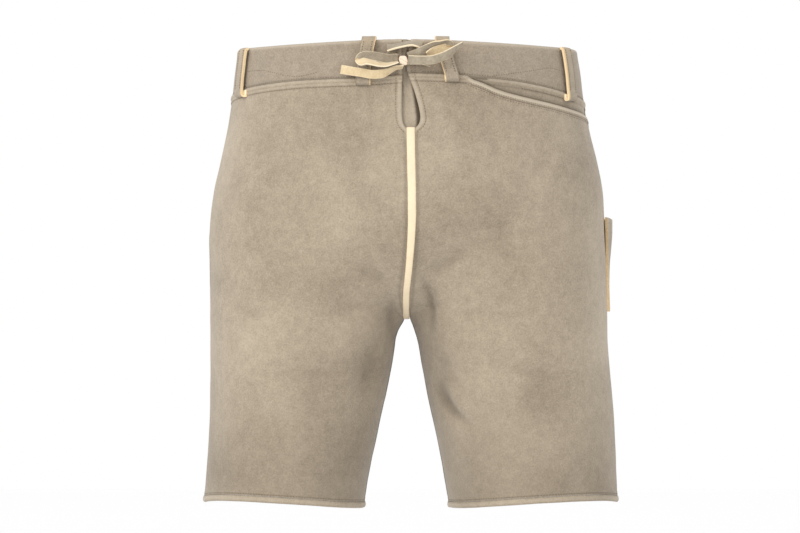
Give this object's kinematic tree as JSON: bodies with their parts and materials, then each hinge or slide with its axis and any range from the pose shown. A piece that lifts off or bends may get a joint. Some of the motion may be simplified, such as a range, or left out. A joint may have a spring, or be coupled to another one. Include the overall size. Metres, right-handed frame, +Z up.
{
  "type": "pair of short leather trousers with a laced back",
  "caption": "Short leather trousers as worn: hollow waist and legs, laced slit and gusset at the back, welted seat seam, slanted back pocket, belt loops, thigh pocket, drop front.",
  "frame": {"origin": "middle of the waist opening, level with the top of the waistband at the side seams, where the wearer's waist holds the garment", "axes": "+X towards the wearer's right, +Y towards the wearer's front, +Z up; the laced back faces -Y"},
  "size_m": [0.4444, 0.2604, 0.493],
  "materials": {
    "suede": "brushed grey-brown deerskin with a short matt nap and cloudy variation",
    "welt_leather": "raw cream cut leather, matt",
    "lace_leather": "flat thong, grey-brown on one side and raw cream on the other, matt",
    "horn": "dark horn with a soft polish"
  },
  "bodies": {
    "root": {"back_left": "suede", "back_right": "suede", "front_left": "suede", "front_right": "suede", "waistband_left": "suede", "waistband_right": "suede", "hem_left": "suede", "hem_right": "suede", "back_gusset": "suede", "back_pocket_facing": "suede", "belt_loop_side_left": "suede", "belt_loop_back_left": "suede", "belt_loop_back_right": "suede", "belt_loop_side_right": "suede", "knife_pocket": "suede", "front_flap": "suede", "back_welt": "welt_leather", "lace_bridge": "lace_leather", "lace_feed_left": "lace_leather", "lace_feed_right": "lace_leather", "lace_knot": "lace_leather", "lace_loop_left": "lace_leather", "lace_loop_right": "lace_leather", "lace_tail_left": "lace_leather", "lace_tail_right": "lace_leather", "front_button_left": "horn", "front_button_right": "horn"}
  },
  "joints": []
}
